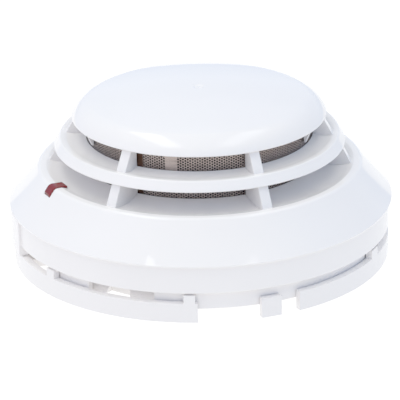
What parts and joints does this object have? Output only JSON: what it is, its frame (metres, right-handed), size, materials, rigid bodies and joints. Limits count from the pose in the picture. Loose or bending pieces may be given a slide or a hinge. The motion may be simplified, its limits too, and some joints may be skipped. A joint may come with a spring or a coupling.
{
  "type": "ceiling fire detector",
  "caption": "White round ceiling heat detector with a domed cap over louvred sensing inlets, a red indicator strip and a twist-lock mounting base.",
  "frame": {"origin": "centre of the mounting face, on the unit's axis", "axes": "+Z from the mounting face out through the dome, -Y the front, with the red indicator strip on the -X side"},
  "size_m": [0.0996, 0.0996, 0.0446],
  "materials": {
    "white_housing": "glossy cool white moulded ABS",
    "white_base": "satin white moulded ABS",
    "screen_steel": "etched stainless insect screen with small round-cornered holes",
    "red_lens": "clear red acrylic",
    "red_lamp": "diffused red epoxy",
    "board_green": "green solder mask on glass epoxy",
    "chip_black": "black epoxy package",
    "capacitor_sleeve": "dark shrink sleeve",
    "tin_plate": "bright tin plate",
    "chamber_black": "matt black anti-reflection plastic",
    "tinted_lens": "blue-tinted clear epoxy",
    "dark_lens": "dark daylight-blocking epoxy",
    "bead_glass": "glass-coated bead on fine leads",
    "zinc_steel": "bright zinc plate",
    "nickel_strip": "nickel-plated spring strip"
  },
  "bodies": {
    "base": {"mounting_base": "white_base", "base_contact_1": "nickel_strip", "base_contact_2": "nickel_strip", "base_contact_3": "nickel_strip", "base_contact_4": "nickel_strip", "clamp_plates": "zinc_steel", "terminal_screws": "zinc_steel"},
    "head": {"outer_housing": "white_housing", "louvre_ring": "white_housing", "dome_cap": "white_housing", "insect_screen": "screen_steel", "light_pipe": "red_lens", "status_led": "red_lamp", "rear_cover": "white_base", "contact_blade_1": "nickel_strip", "contact_blade_2": "nickel_strip", "contact_blade_3": "nickel_strip", "contact_blade_4": "nickel_strip", "main_board": "board_green", "microcontroller": "chip_black", "storage_capacitor": "capacitor_sleeve", "shield_can": "tin_plate", "chamber_base": "chamber_black", "chamber_labyrinth": "chamber_black", "infrared_emitter": "tinted_lens", "photodiode": "dark_lens", "thermistor": "bead_glass", "cover_screws": "zinc_steel", "chamber_screws": "zinc_steel"}
  },
  "joints": [
    {"name": "head_twist", "type": "hinge", "parent": "base", "child": "head", "pos_m": [0, 0, 0], "axis": [0, 0, 1], "range_deg": [0, 14]}
  ]
}
